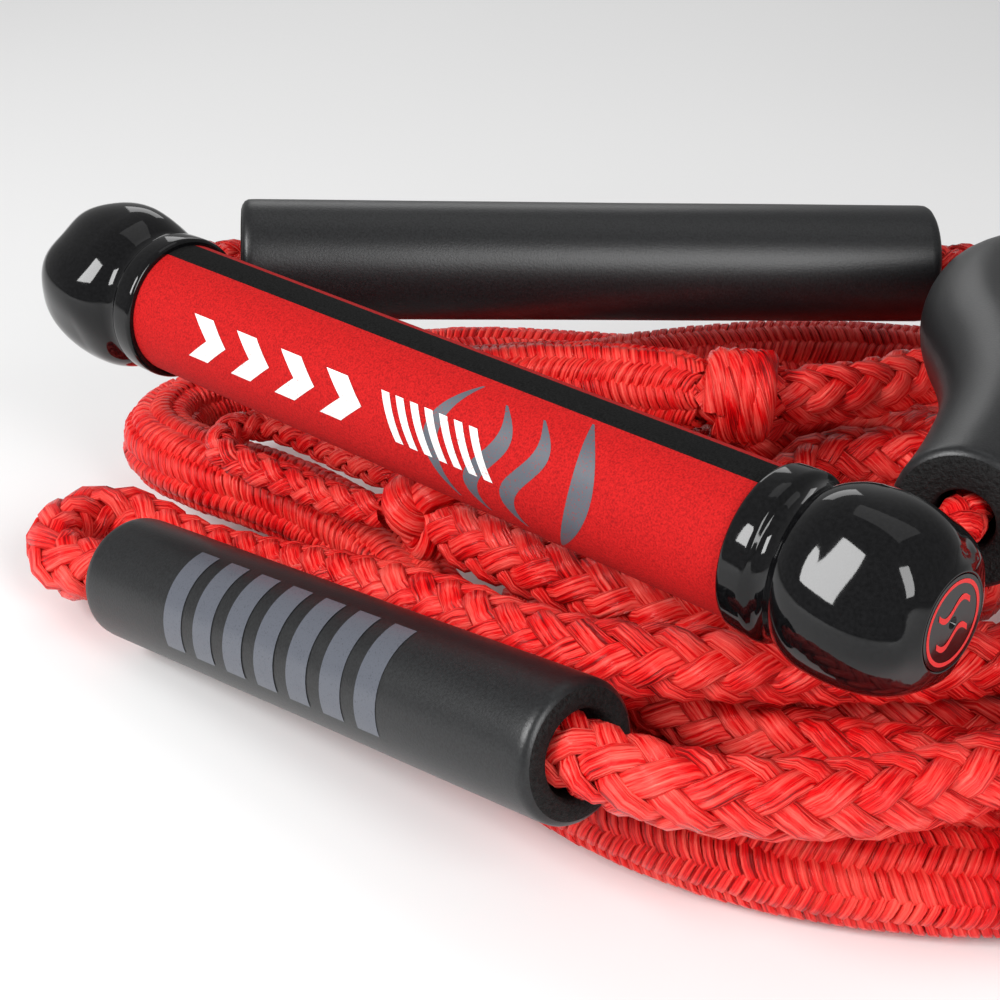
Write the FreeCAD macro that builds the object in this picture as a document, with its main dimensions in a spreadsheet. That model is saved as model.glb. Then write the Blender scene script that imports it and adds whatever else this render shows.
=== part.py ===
import FreeCAD, Part
import math
import os
import Sketcher
from FreeCAD import Placement, Rotation, Vector

# Tow rope handle for wakesurfing: a short gripped bar with bulb-shaped end caps, a rope bridle with
# foam tubes on its legs, a stretch section, and a coiled hollow-braid line with a foam float.
#
# Frame: the origin is the middle of the grip's axis, +X runs along the bar towards the right cap,
# +Y points to the bridle's side and +Z is up. The coil lies on a surface `grip_height` below.
# Lengths are in millimetres. Route points are (x, y, height above that surface).

DIMENSIONS = {
    "grip_height": 73,
    "grip_length": 170,
    "grip_diameter": 30.4,
    "strip_width": 8,
    "strip_floor": 13,
    "bar_diameter": 22.2,
    "bar_bore": 19,
    "bar_overhang": 12,
    "ball_diameter": 39,
    "ball_offset": 22.2,
    "cap_length": 39.2,
    "collar_diameter": 33.5,
    "collar_width": 6,
    "neck_diameter": 30.5,
    "cap_cavity_diameter": 17,
    "plug_diameter": 18,
    "plug_length": 6,
    "plug_dimple_depth": 1.2,
    "bush_bore": 10.7,
    "bush_flange": 2.5,
    "bridle_rope": 10,
    "bridle_bend": 9,
    "leg_float_diameter": 29.6,
    "leg_float_bore": 10.8,
    "leg_float_length": 175,
    "leg_float_gap": 10,
    "bent_float_bore": 12.4,
    "line_float_diameter": 28.6,
    "line_float_bore": 19.4,
    "line_float_length": 148.5,
    "float_edge": 2.5,
    "line_rope": 15.5,
    "bungee_rope": 21,
    "bungee_core": 12,
    "loop_rope": 8.4,
    "coil_inner_radius": 46.5,
    "coil_outer_radius": 92.3,
    "coil_thickness": 31,
    "coil_edge": 7,
    "line_knot_diameter": 23,
    "bungee_knot_diameter": 25,
    "wrap_diameter": 24,
    "wrap_length": 13,
}

COIL_CENTRE = (56, 92)
HINGE_GAP = 0.4  # between the rope's end in a cap and the rounded start of a bridle leg

# The line leaves its knot, drops into the middle of the coil, and after the coil comes back up,
# passes in front, turns tightly at the left, runs through the float and round to the wrap.
LINE_LEAD = [
    (-8, 9, 40), (12, 8, 41), (36, 10, 40), (62, 18, 39.5), (82, 36, 39.6), (89, 62, 39.4), (82, 86, 30),
    (68, 100, 18), (48, 97, 12), (30, 92, 11.5), (16, 97, 14),
]
LINE_RUN = [
    (86, 152, 39.3), (110, 133, 39.6), (123, 102, 39), (121, 68, 39), (107, 38, 40), (84, 13, 41), (57, -5, 39),
    (30, -10, 35), (4, -6, 31), (-26, -6, 24.5), (-52, -3, 16.8), (-74, -4, 12.5), (-87, -6.6, 12.8),
    (-100, -6.8, 14.5), (-107.5, -13.5, 16), (-108.5, -23.5, 16.5), (-102.5, -31.7, 15.5), (-92.6, -34.4, 14.2),
    (-77, -29, 17.2), (-40, -31.1, 22.9), (0, -33.4, 29), (40, -35.7, 35.2), (72.8, -37.6, 40.2), (91, -38.4, 42.5), (108, -26, 41), (123, -3, 38),
    (134, 28, 38.8), (142, 64, 39.3), (142, 104, 39.3), (129, 142, 39.4), (100, 168, 40), (68, 178, 42),
    (38, 170, 42), (22, 150, 41), (19, 128, 42), (6.5, 109, 43.3),
]
FLOAT_START = (-73.5, -29.2, 17.7)
FLOAT_END = (72.8, -37.6, 40.2)

# The stretch section leaves its knot at the bridle, doubles back behind the coil, goes round it once
# outside, folds at the left end under the bar and comes back to the wrap.
BUNGEE_RUN = [
    (172, 214, 42), (184, 226, 33), (181, 244, 22), (154, 252, 13), (110, 243, 11), (66, 231, 11),
    (24, 217, 11), (-14, 196, 11), (-50, 171, 11), (-86, 146, 12), (-115, 123, 12.5), (-123, 104, 13.5),
    (-118, 88, 15), (-102, 80, 17), (-84, 86, 21), (-68, 108, 24), (-48, 136, 27), (-22, 164, 29),
    (12, 187, 28), (48, 201, 27), (86, 201, 20), (120, 184, 12.5), (147, 155, 11), (163, 118, 10.5),
    (163, 78, 10.5), (150, 40, 10.5), (124, 11, 10.5), (92, -8, 10.5), (55, -15, 10.5), (21, -9, 10.8),
    (-9, 9, 13), (-40, 21, 17), (-72, 19, 21), (-98, 12, 22), (-120, 14, 21), (-132, 29, 20),
    (-129, 47, 20), (-113, 57, 23), (-90, 61, 28), (-64, 74, 36), (-36, 87, 42), (-7, 98, 43.3),
]

BOAT_LOOP = [
    (-26, 8, 37.5), (-37, 6, 36), (-53, 5.5, 35.5), (-68, 3.6, 36), (-82, 3.5, 36.5), (-87.5, 13, 37), (-82, 22.5, 37),
    (-66, 21.5, 37.5), (-46, 17.5, 40), (-25, 16.8, 42),
]

LEFT_LEG_TAIL = [(19, 171, 64.4), (38, 193, 64), (60, 206, 60), (84, 212.2, 55.5), (100, 212.2, 54), (111, 212.2, 54)]
RIGHT_LEG = [(104.9, 33.1, 73.1), (98.6, 57.4, 73.4), (82, 90, 73.5), (55, 118, 72.5), (44, 150, 71), (58, 178, 67)]
RIGHT_LEG_TAIL = [(58, 178, 67), (72, 193, 60), (88, 201.8, 55), (101, 201.8, 54), (111, 201.8, 54)]
SEIZING_CENTRE = (102, 207, 54)
SEIZING_LENGTH = 16
BRIDLE_EYE = [
    (111, 201.8, 54), (118, 200.2, 54), (126, 195.5, 54), (136.3, 195.5, 54), (143, 202.2, 54), (143, 211.8, 54),
    (136.3, 218.5, 54), (126, 218.5, 54), (118, 213.8, 54), (111, 212.2, 54),
]
BRIDLE_PIVOT = (143, 207, 54)
LINK_LOOP = [
    (158.5, 207, 57.5), (153, 207, 62.8), (144, 207, 65), (135.2, 207, 62), (132, 207, 54), (135.2, 207, 46),
    (144, 207, 43), (151.5, 207, 44), (158, 207, 46.5),
]
LINE_KNOT = (-16, 11, 40)
BUNGEE_KNOT = (166, 209, 49)
WRAP_CENTRE = (0, 103, 43.4)
WRAP_DIRECTION = (6, 5, 0)


def add_sheet(doc):
    """A spreadsheet holding every driving dimension under its own alias."""
    sheet = doc.addObject("Spreadsheet::Sheet", "Dimensions")
    for row, (alias, value) in enumerate(DIMENSIONS.items(), start=1):
        sheet.set(f"A{row}", alias.replace("_", " "))
        sheet.set(f"B{row}", str(value))
        sheet.setAlias(f"B{row}", alias)
    doc.recompute()
    return sheet


doc = FreeCAD.newDocument("tow_rope_handle")
sheet = add_sheet(doc)
parts = []


def size(alias):
    """The value that the sheet holds under an alias."""
    return float(sheet.get(alias))


def spot(point):
    """A route point in the part's frame, from its height above the surface."""
    x, y, height = point
    return Vector(x, y, height - size("grip_height"))


def keep(obj, label):
    """Registers an object as one sub-part, under the name of its node."""
    obj.Label = label
    parts.append(obj)
    return obj


def bind(obj, **expressions):
    """Ties properties of an object to the sheet. A double underscore stands for a dot."""
    for name, expression in expressions.items():
        obj.setExpression(name.replace("__", "."), expression)


# ---------------------------------------------------------------------------- shared builders


def circle_sketch(body, name, plane_role, *diameters):
    """Concentric circles on one of the body's own origin planes, each tied to a cell."""
    plane = next(f for f in body.Origin.OriginFeatures if f.Role == plane_role)
    sketch = body.newObject("Sketcher::SketchObject", name)
    sketch.AttachmentSupport = (plane, [""])
    sketch.MapMode = "FlatFace"
    for expression in diameters:
        index = sketch.addGeometry(Part.Circle(Vector(), Vector(0, 0, 1), 10), False)
        sketch.addConstraint(Sketcher.Constraint("Coincident", index, 3, -1, 1))
        constraint = sketch.addConstraint(Sketcher.Constraint("Diameter", index, 20))
        sketch.setExpression(f"Constraints[{constraint}]", expression)
    return sketch


def padded_ring(name, plane_role, outer, bore, length):
    """A body that is a ring section padded along its plane's normal."""
    body = doc.addObject("PartDesign::Body", name)
    pad = body.newObject("PartDesign::Pad", name + "_pad")
    pad.Profile = circle_sketch(body, name + "_section", plane_role, outer, bore)
    bind(pad, Length=length)
    doc.recompute()
    return body, pad


def round_outer_ends(body, pad, outer, radius):
    """Fillets the two outer end edges of a padded ring."""
    wanted = [
        f"Edge{number}"
        for number, edge in enumerate(pad.Shape.Edges, start=1)
        if isinstance(edge.Curve, Part.Circle) and abs(2 * edge.Curve.Radius - size(outer)) < 1e-6
    ]
    fillet = body.newObject("PartDesign::Fillet", body.Name + "_edges")
    fillet.Base = (pad, wanted)
    bind(fillet, Radius=radius)
    doc.recompute()
    return fillet


def cylinder(name, diameter, length, start="0 mm", axis=Vector(1, 0, 0)):
    """A cylinder whose axis passes through the local origin, tied to the sheet."""
    obj = doc.addObject("Part::Cylinder", name)
    obj.Placement = Placement(Vector(), Rotation(Vector(0, 0, 1), axis))
    bind(obj, Radius=f"({diameter}) / 2", Height=length)
    if axis.x:
        bind(obj, Placement__Base__x=start)
    else:
        bind(obj, Placement__Base__y=start)
    return obj


def fuse(name, *objects):
    obj = doc.addObject("Part::MultiFuse", name)
    obj.Shapes = list(objects)
    return obj


def cut(name, base, tool):
    obj = doc.addObject("Part::Cut", name)
    obj.Base = base
    obj.Tool = tool
    return obj


def end_placement(side):
    """Where a piece drawn from the grip's right end outwards goes, on the given side of the bar."""
    turn = Rotation() if side > 0 else Rotation(Vector(0, 1, 0), 180)
    return Placement(Vector(side * size("grip_length") / 2, 0, 0), turn)


def rope_path(points):
    """Straight runs joined by tangent arcs, and the smallest arc radius.

    Each arc takes up 0.45 of the shorter run beside its corner.
    """
    edges = []
    start = points[0]
    smallest = math.inf
    for before, corner, after in zip(points, points[1:], points[2:]):
        arriving = (corner - before).normalize()
        leaving = (after - corner).normalize()
        turn = arriving.getAngle(leaving)
        reach = 0.45 * min(corner.distanceToPoint(before), corner.distanceToPoint(after))
        radius = reach / math.tan(turn / 2)
        smallest = min(smallest, radius)
        first = corner - arriving * reach
        last = corner + leaving * reach
        towards_centre = (leaving - arriving).normalize()
        middle = corner + towards_centre * (radius / math.cos(turn / 2) - radius)
        edges.append(Part.LineSegment(start, first).toShape())
        edges.append(Part.Arc(first, middle, last).toShape())
        start = last
    edges.append(Part.LineSegment(start, points[-1]).toShape())
    return Part.Wire(edges), smallest


def sweep_disc(wire, start, direction, diameter):
    """A round solid along a wire."""
    section = Part.Wire(Part.makeCircle(diameter / 2, start, direction))
    solid = wire.makePipe(Part.Face(section)).Solids[0]
    if solid.Volume < 0:
        solid.reverse()
    return solid


def rope_shape(label, points, diameter, bore=0):
    """A round rope, or a tube if it has a bore, swept along its route."""
    wire, smallest = rope_path(points)
    direction = points[1] - points[0]
    shape = sweep_disc(wire, points[0], direction, diameter)
    expected = math.pi * diameter**2 / 4 * wire.Length
    if bore:
        shape = shape.cut(sweep_disc(wire, points[0], direction, bore))
        expected -= math.pi * bore**2 / 4 * wire.Length
    print(
        f"{label}: length {wire.Length:.0f} mm, smallest radius {smallest:.1f} mm "
        f"({smallest / diameter:.1f} diameters), volume ratio {shape.Volume / expected:.4f}"
    )
    return shape


def add_shape(label, shape, placement=None):
    """A sub-part whose shape is set here, because no parametric feature makes it."""
    obj = doc.addObject("Part::Feature", label)
    obj.Shape = shape
    if placement is not None:
        obj.Placement = placement
    return keep(obj, label)


def add_rope(label, route, alias, bore_alias=None):
    bore = size(bore_alias) if bore_alias else 0
    return add_shape(label, rope_shape(label, [spot(p) for p in route], size(alias), bore))


# ---------------------------------------------------------------------------- the bar and its grip


def make_bar():
    body, _ = padded_ring(
        "bar_tube",
        "YZ_Plane",
        "Dimensions.bar_diameter",
        "Dimensions.bar_bore",
        "Dimensions.grip_length + 2 * Dimensions.bar_overhang",
    )
    bind(body, Placement__Base__x="-Dimensions.grip_length / 2 - Dimensions.bar_overhang")
    keep(body, "bar_tube")


def make_grip():
    """A foam sleeve with a flat-bottomed channel along its top, and the strip that fills it."""
    half = "-Dimensions.grip_length / 2"
    outer = cylinder("grip_outer", "Dimensions.grip_diameter", "Dimensions.grip_length", half)
    bore = cylinder("grip_bore", "Dimensions.bar_diameter", "Dimensions.grip_length", half)
    channel = doc.addObject("Part::Box", "grip_channel")
    bind(
        channel,
        Length="Dimensions.grip_length",
        Width="Dimensions.strip_width",
        Height="Dimensions.grip_diameter / 2",
        Placement__Base__x=half,
        Placement__Base__y="-Dimensions.strip_width / 2",
        Placement__Base__z="Dimensions.strip_floor",
    )
    keep(cut("grip_sleeve", cut("grip_ring", outer, bore), channel), "grip_sleeve")
    strip = doc.addObject("Part::Common", "grip_strip")
    strip.Base = outer
    strip.Tool = channel
    keep(strip, "grip_strip")


# ---------------------------------------------------------------------------- end caps


def make_end_cap(side, word):
    """A collar, a groove and a bulb moulded as one, hollow for the bar, the bush and the rope."""
    name = "end_cap_" + word
    ball = doc.addObject("Part::Sphere", name + "_ball")
    bind(ball, Radius="Dimensions.ball_diameter / 2", Placement__Base__x="Dimensions.ball_offset")
    collar = cylinder(name + "_collar", "Dimensions.collar_diameter", "Dimensions.collar_width")
    neck = cylinder(name + "_neck", "Dimensions.neck_diameter", "Dimensions.ball_offset / 2")
    outside = fuse(name + "_outside", ball, collar, neck)
    seat_length = "Dimensions.bar_overhang + Dimensions.bush_flange"
    seat = cylinder(name + "_seat", "Dimensions.bar_diameter", seat_length)
    cavity = cylinder(name + "_cavity", "Dimensions.cap_cavity_diameter", "Dimensions.cap_length")
    plug_hole = cylinder(
        name + "_plug_hole",
        "Dimensions.plug_diameter",
        "Dimensions.plug_length + 5",
        "Dimensions.cap_length - Dimensions.plug_length",
    )
    end_trim = cylinder(
        name + "_end_trim", "Dimensions.ball_diameter", "Dimensions.ball_diameter", "Dimensions.cap_length"
    )
    rope_hole = cylinder(
        name + "_rope_hole", "Dimensions.bush_bore", "Dimensions.ball_diameter", axis=Vector(0, 1, 0)
    )
    bind(rope_hole, Placement__Base__x="Dimensions.ball_offset")
    hollow = fuse(name + "_hollow", seat, cavity, plug_hole, end_trim, rope_hole)
    cap = cut(name, outside, hollow)
    cap.Placement = end_placement(side)
    keep(cap, name)


def make_end_plug(side, word):
    """The disc that closes a cap's outer end, with a small dimple in its middle."""
    name = "end_plug_" + word
    disc = cylinder(
        name + "_disc",
        "Dimensions.plug_diameter",
        "Dimensions.plug_length",
        "Dimensions.cap_length - Dimensions.plug_length",
    )
    dimple = doc.addObject("Part::Cone", name + "_dimple")
    dimple.Placement.Rotation = Rotation(Vector(0, 0, 1), Vector(-1, 0, 0))
    bind(
        dimple,
        Radius1="Dimensions.plug_dimple_depth",
        Radius2="0 mm",
        Height="Dimensions.plug_dimple_depth",
        Placement__Base__x="Dimensions.cap_length",
    )
    plug = cut(name, disc, dimple)
    plug.Placement = end_placement(side)
    keep(plug, name)


def make_tube_bush(side, word):
    """The flanged bush in each end of the bar that keeps the rope off the tube's edge."""
    name = "tube_bush_" + word
    shank = cylinder(name + "_shank", "Dimensions.bar_bore", "Dimensions.bar_overhang")
    flange = cylinder(
        name + "_flange", "Dimensions.bar_diameter", "Dimensions.bush_flange", "Dimensions.bar_overhang"
    )
    bore = cylinder(name + "_bore", "Dimensions.bush_bore", "2 * Dimensions.ball_offset")
    bush = cut(name, fuse(name + "_outside", shank, flange), bore)
    bush.Placement = end_placement(side)
    keep(bush, name)


# ---------------------------------------------------------------------------- bridle


def ball_centre_x():
    return size("grip_length") / 2 + size("ball_offset")


def exit_y():
    """How far behind the bar's axis the rope in a cap ends, just inside the bulb's surface."""
    return size("ball_diameter") / 2 - 0.6


def leg_pivot_y():
    return exit_y() + HINGE_GAP + size("bridle_rope") / 2


def make_bridle_core():
    """The stretch of bridle rope inside the handle: in at one cap, along the bar, out at the other."""
    x, y, bend = ball_centre_x(), exit_y(), size("bridle_bend")
    knee = bend * (1 - math.sqrt(0.5))
    edges = [
        Part.LineSegment(Vector(-x, y, 0), Vector(-x, bend, 0)).toShape(),
        Part.Arc(Vector(-x, bend, 0), Vector(knee - x, knee, 0), Vector(bend - x, 0, 0)).toShape(),
        Part.LineSegment(Vector(bend - x, 0, 0), Vector(x - bend, 0, 0)).toShape(),
        Part.Arc(Vector(x - bend, 0, 0), Vector(x - knee, knee, 0), Vector(x, bend, 0)).toShape(),
        Part.LineSegment(Vector(x, bend, 0), Vector(x, y, 0)).toShape(),
    ]
    wire = Part.Wire(edges)
    shape = sweep_disc(wire, Vector(-x, y, 0), Vector(0, -1, 0), size("bridle_rope"))
    add_shape("bridle_rope_in_bar", shape)


def make_bridle_leg(label, side, route):
    """A leg from its rounded start, on the pivot line at a cap, to the seizing."""
    pivot = Vector(side * ball_centre_x(), leg_pivot_y(), 0)
    radius = size("bridle_rope") / 2
    points = [pivot] + [spot(p) for p in route]
    rope = rope_shape(label, points, size("bridle_rope"))
    start = Part.makeSphere(radius, pivot)
    add_shape(label, rope.fuse(start).removeSplitter().Solids[0])


def make_left_float():
    """The straight foam tube on the left leg, along the line from the pivot to the leg's tail."""
    body, pad = padded_ring(
        "left_leg_float",
        "YZ_Plane",
        "Dimensions.leg_float_diameter",
        "Dimensions.leg_float_bore",
        "Dimensions.leg_float_length",
    )
    round_outer_ends(body, pad, "leg_float_diameter", "Dimensions.float_edge")
    pivot = Vector(-ball_centre_x(), leg_pivot_y(), 0)
    end = spot(LEFT_LEG_TAIL[0])
    direction = (end - pivot).normalize()
    start = end - direction * (size("leg_float_gap") + size("leg_float_length"))
    body.Placement = Placement(start, Rotation(Vector(1, 0, 0), direction))
    keep(body, "left_leg_float")


def make_right_float():
    """The foam tube on the right leg, bent with the slack leg inside it."""
    points = [spot(p) for p in RIGHT_LEG]
    add_shape(
        "right_leg_float",
        rope_shape("right_leg_float", points, size("leg_float_diameter"), size("bent_float_bore")),
    )


def make_seizing():
    """The whipping that binds the two legs side by side, with a hole for each."""
    centre = spot(SEIZING_CENTRE)
    start = centre - Vector(SEIZING_LENGTH / 2, 0, 0)
    half_gap = (LEFT_LEG_TAIL[-1][1] - RIGHT_LEG_TAIL[-1][1]) / 2
    rope_radius = size("bridle_rope") / 2
    wall = 1.6
    along = Vector(1, 0, 0)
    sides = [start + Vector(0, s * half_gap, 0) for s in (-1, 1)]
    solid = Part.makeBox(
        SEIZING_LENGTH, 2 * half_gap, 2 * (rope_radius + wall), start - Vector(0, half_gap, rope_radius + wall)
    )
    for place in sides:
        solid = solid.fuse(Part.makeCylinder(rope_radius + wall, SEIZING_LENGTH, place, along))
    for place in sides:
        solid = solid.cut(Part.makeCylinder(rope_radius, SEIZING_LENGTH, place, along))
    add_shape("bridle_seizing", solid.removeSplitter().Solids[0])


# ---------------------------------------------------------------------------- line and its float


def make_line_float():
    body, pad = padded_ring(
        "line_float",
        "YZ_Plane",
        "Dimensions.line_float_diameter",
        "Dimensions.line_float_bore",
        "Dimensions.line_float_length",
    )
    round_outer_ends(body, pad, "line_float_diameter", "Dimensions.float_edge")
    start, end = spot(FLOAT_START), spot(FLOAT_END)
    body.Placement = Placement(start, Rotation(Vector(1, 0, 0), end - start))
    keep(body, "line_float")


def make_coil():
    """The outer shape of the line's six put-away turns."""
    body, pad = padded_ring(
        "line_coil",
        "XY_Plane",
        "2 * Dimensions.coil_outer_radius",
        "2 * Dimensions.coil_inner_radius",
        "Dimensions.coil_thickness",
    )
    edges = [
        f"Edge{number}"
        for number, edge in enumerate(pad.Shape.Edges, start=1)
        if isinstance(edge.Curve, Part.Circle)
    ]
    fillet = body.newObject("PartDesign::Fillet", "line_coil_edges")
    fillet.Base = (pad, edges)
    bind(fillet, Radius="Dimensions.coil_edge")
    body.Placement = Placement(spot(COIL_CENTRE + (0,)), Rotation())
    keep(body, "line_coil")


def make_knot(label, centre, alias):
    knot = doc.addObject("Part::Sphere", label)
    bind(knot, Radius=f"Dimensions.{alias} / 2")
    knot.Placement = Placement(spot(centre), Rotation())
    keep(knot, label)


def make_wrap():
    """The hitch that joins the stretch section's end to the line's end."""
    wrap = doc.addObject("Part::Cylinder", "section_wrap")
    bind(wrap, Radius="Dimensions.wrap_diameter / 2", Height="Dimensions.wrap_length")
    direction = Vector(*WRAP_DIRECTION).normalize()
    start = spot(WRAP_CENTRE) - direction * size("wrap_length") / 2
    wrap.Placement = Placement(start, Rotation(Vector(0, 0, 1), direction))
    keep(wrap, "section_wrap")


def check_objects():
    """Stops if any feature failed or any sub-part is empty, invalid or not one solid."""
    for obj in doc.Objects:
        if "Invalid" in obj.State or "Error" in obj.State:
            raise RuntimeError(f"{obj.Name} failed: {obj.State}")
    for obj in parts:
        if obj.Shape.isNull() or not obj.Shape.isValid():
            raise RuntimeError(f"{obj.Label} has no valid shape")
        if len(obj.Shape.Solids) != 1:
            raise RuntimeError(f"{obj.Label} has {len(obj.Shape.Solids)} solids")


def build():
    make_bar()
    make_grip()
    for side, word in ((-1, "left"), (1, "right")):
        make_tube_bush(side, word)
        make_end_cap(side, word)
        make_end_plug(side, word)
    make_bridle_core()
    make_bridle_leg("bridle_leg_left", -1, LEFT_LEG_TAIL)
    make_bridle_leg("bridle_leg_right", 1, RIGHT_LEG[1:] + RIGHT_LEG_TAIL[1:])
    make_left_float()
    make_right_float()
    make_seizing()
    add_rope("bridle_eye", BRIDLE_EYE, "bridle_rope")
    add_rope("link_loop", LINK_LOOP, "loop_rope")
    make_knot("bungee_knot", BUNGEE_KNOT, "bungee_knot_diameter")
    add_rope("bungee_sheath", BUNGEE_RUN, "bungee_rope", "bungee_core")
    add_rope("bungee_core", BUNGEE_RUN, "bungee_core")
    make_wrap()
    add_rope("line_run", LINE_RUN, "line_rope")
    make_line_float()
    make_coil()
    add_rope("line_lead", LINE_LEAD, "line_rope")
    make_knot("line_knot", LINE_KNOT, "line_knot_diameter")
    add_rope("boat_loop", BOAT_LOOP, "loop_rope")
    doc.recompute()
    check_objects()


build()
os.makedirs("parts", exist_ok=True)
for obj in parts:
    obj.Shape.exportStep(f"parts/{obj.Label}.step")
print(f"{len(parts)} sub-parts written")
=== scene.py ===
import math

import bpy
import numpy as np
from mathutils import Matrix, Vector


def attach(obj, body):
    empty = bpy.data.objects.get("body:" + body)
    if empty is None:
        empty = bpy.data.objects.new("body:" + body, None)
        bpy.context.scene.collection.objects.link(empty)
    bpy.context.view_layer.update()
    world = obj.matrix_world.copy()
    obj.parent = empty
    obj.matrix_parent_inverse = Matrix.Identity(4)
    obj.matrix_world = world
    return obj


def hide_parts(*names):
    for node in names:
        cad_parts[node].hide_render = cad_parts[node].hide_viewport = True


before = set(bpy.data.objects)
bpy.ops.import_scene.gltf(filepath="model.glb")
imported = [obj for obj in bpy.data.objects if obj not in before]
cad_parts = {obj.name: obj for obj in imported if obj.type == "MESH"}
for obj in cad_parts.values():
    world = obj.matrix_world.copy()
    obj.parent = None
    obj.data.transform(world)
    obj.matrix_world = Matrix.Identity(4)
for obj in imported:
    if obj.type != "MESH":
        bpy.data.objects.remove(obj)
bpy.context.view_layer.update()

MM = 0.001
# Height of the grip's axis, which is the frame's origin, above the surface the rope lies on.
GRIP_HEIGHT = 73
CAMERA_PLACE = (0.2821, -0.2793, 0.1837)
CAMERA_PITCH = 27.19
CAMERA_AZIMUTH = 43.57
CAMERA_LENS = 75.3

# Radii of the rope surfaces that are braided, in metres.
LINE_RADIUS = 0.0079
BUNGEE_RADIUS = 0.0106
CORE_RADIUS = 0.0055
LOOP_RADIUS = 0.0043
BRIDLE_RADIUS = 0.005

LINE_FOAM_RADIUS = 0.0143
LEG_FOAM_RADIUS = 0.0148
# How far printed ink stands off the axis of the grip and of the line's float.
GRIP_PRINT_RADIUS = 0.01528
GREY_PRINT_RADIUS = 0.01522
FLOAT_PRINT_RADIUS = 0.01442
# The bar's end caps start here, and their end plugs' marks lie here, on either side of the middle.
CAP_START = 0.085
END_MARK_X = 0.12427


# ---------------------------------------------------------------------------- camera


def add_camera():
    pitch = math.radians(CAMERA_PITCH)
    azimuth = math.radians(CAMERA_AZIMUTH)
    forward = Vector((
        -math.sin(azimuth) * math.cos(pitch), math.cos(azimuth) * math.cos(pitch), -math.sin(pitch),
    ))
    data = bpy.data.cameras.new("camera")
    data.sensor_width = 36
    data.lens = CAMERA_LENS
    data.clip_start = 0.01
    camera = bpy.data.objects.new("camera", data)
    camera.location = CAMERA_PLACE
    camera.rotation_euler = forward.to_track_quat("-Z", "Y").to_euler()
    bpy.context.scene.collection.objects.link(camera)
    bpy.context.scene.camera = camera


add_camera()

# ---------------------------------------------------------------------------- routes: x, y and height, in mm

LINE_LEAD = [
    (-8, 9, 40), (12, 8, 41), (36, 10, 40), (62, 18, 39.5), (82, 36, 39.6), (89, 62, 39.4),
    (82, 86, 30), (68, 100, 18), (48, 97, 12), (30, 92, 11.5), (16, 97, 14),
]
COIL_CENTRE = (56, 92)
COIL_LEVELS = [(56, 23.25), (56, 7.75), (71.5, 7.75), (87, 7.75), (87, 23.25), (71.5, 23.25)]
LINE_RUN = [
    (86, 152, 39.3), (110, 133, 39.6), (123, 102, 39), (121, 68, 39), (107, 38, 40), (84, 13, 41),
    (57, -5, 39), (30, -10, 35), (4, -6, 31), (-26, -6, 24.5), (-52, -3, 16.8), (-74, -4, 12.5),
    (-87, -6.6, 12.8), (-100, -6.8, 14.5), (-107.5, -13.5, 16), (-108.5, -23.5, 16.5),
    (-102.5, -31.7, 15.5), (-92.6, -34.4, 14.2), (-77, -29, 17.2), (-40, -31.1, 22.9), (0, -33.4, 29),
    (40, -35.7, 35.2), (72.8, -37.6, 40.2), (91, -38.4, 42.5), (108, -26, 41), (123, -3, 38),
    (134, 28, 38.8), (142, 64, 39.3), (142, 104, 39.3), (129, 142, 39.4), (100, 168, 40), (68, 178, 42),
    (38, 170, 42), (22, 150, 41), (19, 128, 42), (6.5, 109, 43.3),
]
FLOAT_START = (-73.5, -29.2, 17.7)
FLOAT_END = (72.8, -37.6, 40.2)
BUNGEE_RUN = [
    (172, 214, 42), (184, 226, 33), (181, 244, 22), (154, 252, 13), (110, 243, 11), (66, 231, 11),
    (24, 217, 11), (-14, 196, 11), (-50, 171, 11), (-86, 146, 12), (-115, 123, 12.5), (-123, 104, 13.5),
    (-118, 88, 15), (-102, 80, 17), (-84, 86, 21), (-68, 108, 24), (-48, 136, 27), (-22, 164, 29),
    (12, 187, 28), (48, 201, 27), (86, 201, 20), (120, 184, 12.5), (147, 155, 11), (163, 118, 10.5),
    (163, 78, 10.5), (150, 40, 10.5), (124, 11, 10.5), (92, -8, 10.5), (55, -15, 10.5), (21, -9, 10.8),
    (-9, 9, 13), (-40, 21, 17), (-72, 19, 21), (-98, 12, 22), (-120, 14, 21), (-132, 29, 20),
    (-129, 47, 20), (-113, 57, 23), (-90, 61, 28), (-64, 74, 36), (-36, 87, 42), (-7, 98, 43.3),
]
BOAT_LOOP = [
    (-26, 8, 37.5), (-37, 6, 36), (-53, 5.5, 35.5), (-68, 3.6, 36), (-82, 3.5, 36.5),
    (-87.5, 13, 37), (-82, 22.5, 37), (-66, 21.5, 37.5), (-46, 17.5, 40), (-25, 16.8, 42),
]
LEFT_LEG = [
    (-107.2, 24.3, 73), (19, 171, 64.4), (38, 193, 64), (60, 206, 60), (84, 212.2, 55.5), (100, 212.2, 54),
    (111, 212.2, 54),
]
RIGHT_LEG = [
    (107.2, 24.3, 73), (98.6, 57.4, 73.4), (82, 90, 73.5), (55, 118, 72.5), (44, 150, 71), (58, 178, 67),
    (72, 193, 60), (88, 201.8, 55), (101, 201.8, 54), (111, 201.8, 54),
]
RIGHT_FOAM = [(104.9, 33.1, 73.1)] + RIGHT_LEG[1:6]
BRIDLE_EYE = [
    (118, 213.8, 54), (126, 218.5, 54), (136.3, 218.5, 54), (143, 211.8, 54), (143, 202.2, 54),
    (136.3, 195.5, 54), (126, 195.5, 54), (118, 200.2, 54),
]
SEIZING_CENTRE = (102, 207, 54)
LINK_LOOP = [
    (158.5, 207, 57.5), (153, 207, 62.8), (144, 207, 65), (135.2, 207, 62), (132, 207, 54), (135.2, 207, 46),
    (144, 207, 43), (151.5, 207, 44), (158, 207, 46.5),
]
LINE_KNOT = (-16, 11, 40)
BUNGEE_KNOT = (166, 209, 49)
WRAP_CENTRE = (0, 103, 43.4)
WRAP_DIRECTION = (6, 5, 0)


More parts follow.
